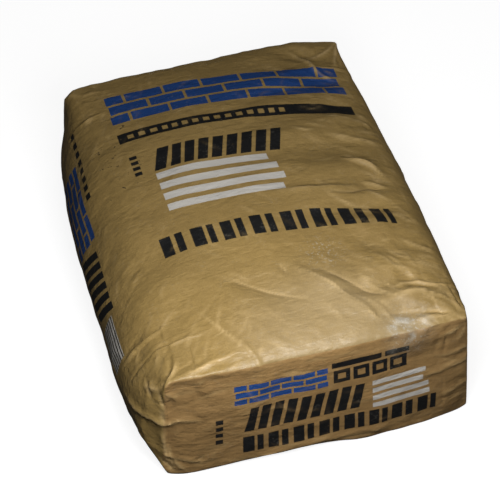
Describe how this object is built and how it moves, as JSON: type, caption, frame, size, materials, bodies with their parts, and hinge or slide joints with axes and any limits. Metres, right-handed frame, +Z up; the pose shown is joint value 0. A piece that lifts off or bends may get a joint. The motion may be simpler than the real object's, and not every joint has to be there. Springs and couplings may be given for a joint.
{
  "type": "cement sack",
  "caption": "Filled paper valve sack of cement lying on its back, with pasted block ends, a cover sheet on each end and a flat valve sleeve at a corner.",
  "frame": {"origin": "on the floor, under the middle of the lying sack's box", "axes": "+X across the sack towards the valve, +Y along it from the closed bottom end to the valve end, +Z up"},
  "size_m": [0.3474, 0.47, 0.1475],
  "materials": {
    "sack_kraft": "brown kraft paper, printed in blue, black and white, dusty",
    "cap_kraft": "brown kraft paper, slightly redder than the sack",
    "sleeve_kraft": "plain unprinted kraft paper, creased flat"
  },
  "bodies": {
    "root": {"sack_body": "sack_kraft", "bottom_cap": "cap_kraft", "top_cap": "cap_kraft", "valve_sleeve": "sleeve_kraft"}
  },
  "joints": []
}
